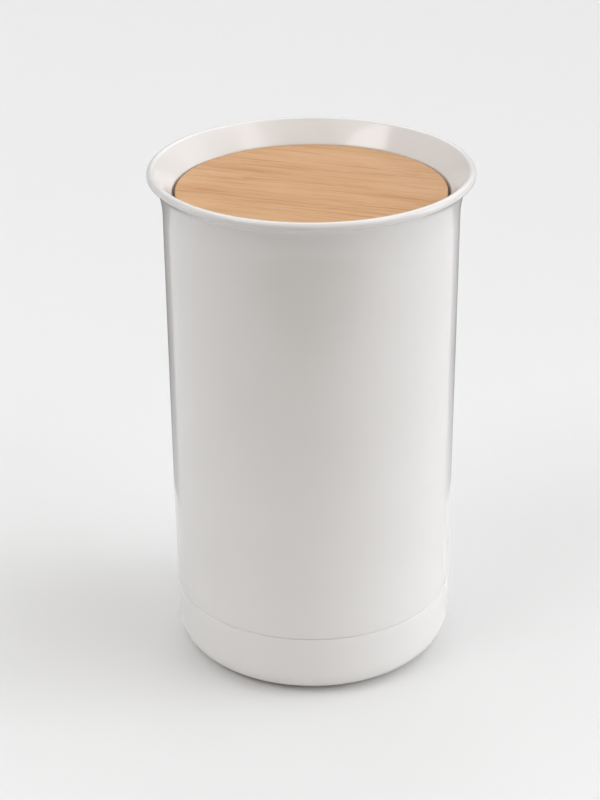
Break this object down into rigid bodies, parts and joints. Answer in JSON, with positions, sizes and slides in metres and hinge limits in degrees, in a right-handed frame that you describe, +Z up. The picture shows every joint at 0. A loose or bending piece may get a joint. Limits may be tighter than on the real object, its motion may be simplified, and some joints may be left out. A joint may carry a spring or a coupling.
{
  "type": "bread bin",
  "caption": "Tall round storage bin with a flared rim, a lift-off wooden lid recessed inside it, and a push-on base cup holding a crumb grid.",
  "frame": {"origin": "on the resting surface, on the bin's axis, under the feet", "axes": "+Z up along the bin's axis; the bin is round, and +X and +Y lie between the feet"},
  "size_m": [0.21, 0.21, 0.341],
  "materials": {
    "body_white": "smooth gloss, warm white",
    "grid_plastic": "fine satin",
    "silicone_seal": "satin silicone",
    "silicone_foot": "matte silicone",
    "oak": "fine-grained pale oak, oiled, satin"
  },
  "bodies": {
    "base": {"base_cup": "body_white", "base_seal": "silicone_seal", "foot_1": "silicone_foot", "foot_2": "silicone_foot", "foot_3": "silicone_foot", "foot_4": "silicone_foot"},
    "shell": {"shell": "body_white"},
    "grid": {"crumb_grid": "grid_plastic"},
    "lid": {"lid_board": "oak", "lid_seal": "silicone_seal"}
  },
  "joints": [
    {"name": "shell_lift", "type": "slide", "parent": "base", "child": "shell", "axis": [0, 0, 1], "range_m": [0, 0.16]},
    {"name": "grid_lift", "type": "slide", "parent": "base", "child": "grid", "axis": [0, 0, 1], "range_m": [0, 0.1]},
    {"name": "lid_lift", "type": "slide", "parent": "shell", "child": "lid", "axis": [0, 0, 1], "range_m": [0, 0.12]}
  ]
}
